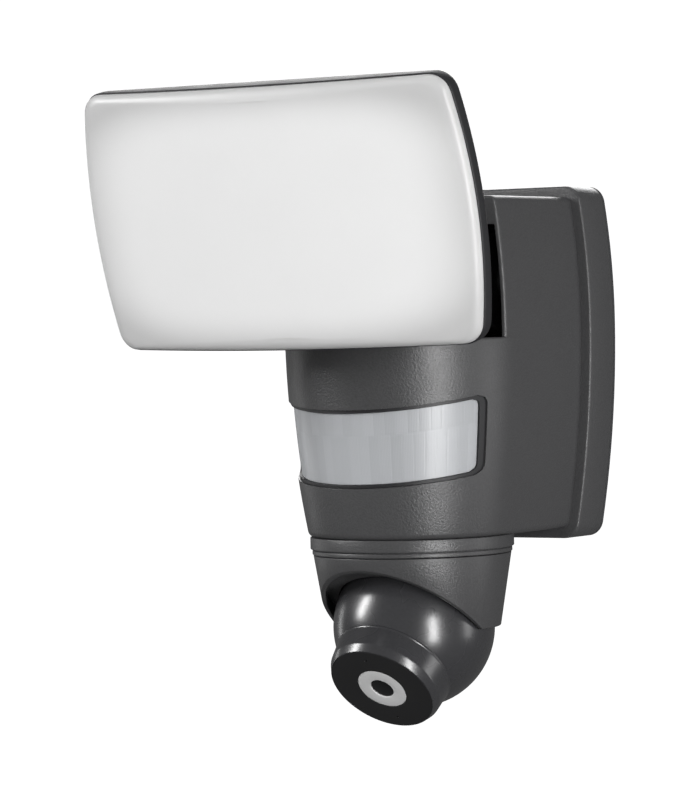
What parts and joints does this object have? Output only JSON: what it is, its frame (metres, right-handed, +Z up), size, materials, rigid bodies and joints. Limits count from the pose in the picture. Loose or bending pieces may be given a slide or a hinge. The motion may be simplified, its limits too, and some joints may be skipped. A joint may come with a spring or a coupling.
{
  "type": "floodlight security camera",
  "caption": "Wall-mounted floodlight camera: a tilting flat light head over a body with a wrap-round motion sensor and a turning ball camera below.",
  "frame": {"origin": "centre of the wall face, the back face of the mounting plate", "axes": "+Y into the wall, +Z up, +X to the right as seen from the front"},
  "size_m": [0.1866, 0.1944, 0.2687],
  "materials": {
    "seal_foam": "closed-cell foam seal, matt",
    "zinc_steel": "zinc-plated sheet steel, satin",
    "seal_rubber": "moulded rubber, matt",
    "terminal_plastic": "moulded polyamide",
    "module_case": "potted module case",
    "textured_housing": "anthracite moulded plastic, fine spark texture",
    "inner_plastic": "black moulded plastic",
    "circuit_board": "green solder mask",
    "components": "moulded electronic components",
    "antenna_film": "copper antenna film",
    "frame_plastic": "black moulded plastic, matt",
    "fresnel_lens": "milky polyethylene lens with facets",
    "sensor_can": "nickel-plated metal can",
    "bracket_steel": "black-coated pressed steel",
    "screw_steel": "stainless steel",
    "head_plastic": "dark grey moulded plastic, fine texture",
    "cast_aluminium": "cast aluminium, plain",
    "white_board": "white solder mask on an aluminium board",
    "led_phosphor": "yellow phosphor gel",
    "white_tray": "white reflector plastic",
    "opal_cover": "opal acrylic, satin",
    "ball_plastic": "anthracite moulded plastic, satin gloss",
    "window_black": "black window, matt",
    "ring_diffuser": "white translucent ring",
    "lens_glass": "coated lens glass"
  },
  "bodies": {
    "housing": {"wall_seal": "seal_foam", "mounting_plate": "zinc_steel", "cable_seal": "seal_rubber", "terminal_block": "terminal_plastic", "power_module": "module_case", "wall_box": "textured_housing", "box_screws": "screw_steel", "chassis_plate": "inner_plastic", "main_board": "circuit_board", "board_components": "components", "wifi_antenna": "antenna_film", "body_shell": "textured_housing", "sensor_frame": "frame_plastic", "sensor_lens": "fresnel_lens", "sensor_cradle": "inner_plastic", "sensor_board": "circuit_board", "motion_sensors": "sensor_can", "hinge_bracket": "bracket_steel", "bracket_screws": "screw_steel", "friction_washers": "seal_rubber", "hinge_screws": "screw_steel", "collar": "textured_housing", "collar_screws": "screw_steel"},
    "light_head": {"head_arm": "textured_housing", "arm_screws": "screw_steel", "head_housing": "head_plastic", "led_driver": "module_case", "heat_sink": "cast_aluminium", "heat_sink_screws": "screw_steel", "led_board": "white_board", "leds": "led_phosphor", "reflector": "white_tray", "head_seal": "seal_rubber", "light_cover": "opal_cover"},
    "camera_mount": {"camera_holder": "textured_housing", "pan_retainer": "inner_plastic", "retainer_screws": "screw_steel", "tilt_post": "inner_plastic", "tilt_axle": "screw_steel"},
    "ball_camera": {"ball_shell": "ball_plastic", "camera_barrel": "ball_plastic", "front_window": "window_black", "light_ring": "ring_diffuser", "lens_glass": "lens_glass", "lens_tube": "frame_plastic", "camera_board": "circuit_board", "image_sensor": "components", "microphone": "sensor_can", "light_sensor": "sensor_can", "ring_board": "circuit_board", "camera_screws": "screw_steel"}
  },
  "joints": [
    {"name": "head_tilt", "type": "hinge", "parent": "housing", "child": "light_head", "pos_m": [0, -0.0645, 0.0355], "axis": [1, 0, 0], "range_deg": [-32, 14]},
    {"name": "camera_pan", "type": "hinge", "parent": "housing", "child": "camera_mount", "pos_m": [0, -0.0785, -0.11], "axis": [0, 0, 1], "range_deg": [-90, 90]},
    {"name": "camera_tilt", "type": "hinge", "parent": "camera_mount", "child": "ball_camera", "pos_m": [0, -0.0785, -0.11], "axis": [1, 0, 0], "range_deg": [-22, 32]}
  ]
}
